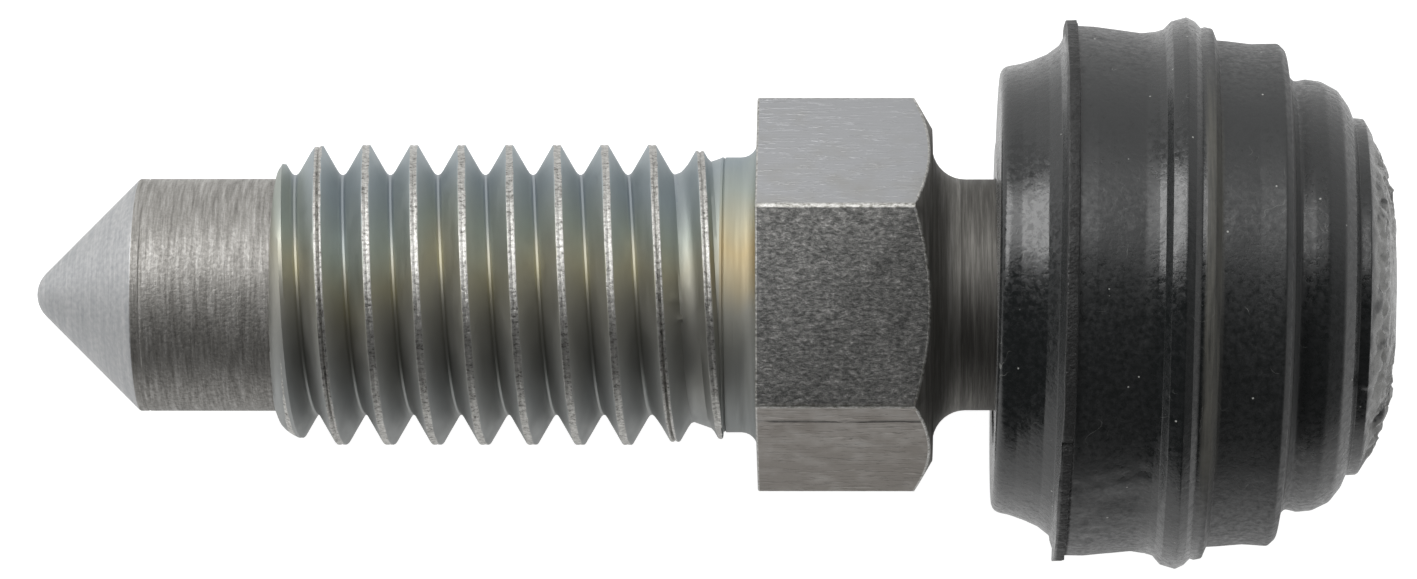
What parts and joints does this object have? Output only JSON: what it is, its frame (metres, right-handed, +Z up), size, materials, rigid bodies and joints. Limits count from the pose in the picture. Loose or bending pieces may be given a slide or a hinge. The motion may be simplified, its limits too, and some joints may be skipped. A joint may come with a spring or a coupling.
{
  "type": "vent valve",
  "caption": "Hydraulic bleed screw with a sealing cone, rolled thread, hexagon and hose nipple, under a pull-off ribbed rubber dust cap.",
  "frame": {"origin": "on the table under the middle of the part's box, with the part lying as it comes to rest: on the flash fin of its cap and the last thread crest before the pilot", "axes": "+X towards the cap, along the screw but for the 9.34 degrees by which its axis rises to the cap; +Y level across the screw; +Z up, away from the table. The cross port faces the table."},
  "size_m": [0.0354, 0.0144, 0.0146],
  "materials": {
    "plated_steel": "turned and rolled steel with thin zinc plating",
    "black_rubber": "moulded, satin"
  },
  "bodies": {
    "screw": {"valve_screw": "plated_steel"},
    "cap": {"dust_cap": "black_rubber"}
  },
  "joints": [
    {"name": "cap_pull", "type": "slide", "parent": "screw", "child": "cap", "axis": [0.9867, 0, 0.1623], "range_m": [0, 0.0095], "deforming": ["dust_cap"]}
  ]
}
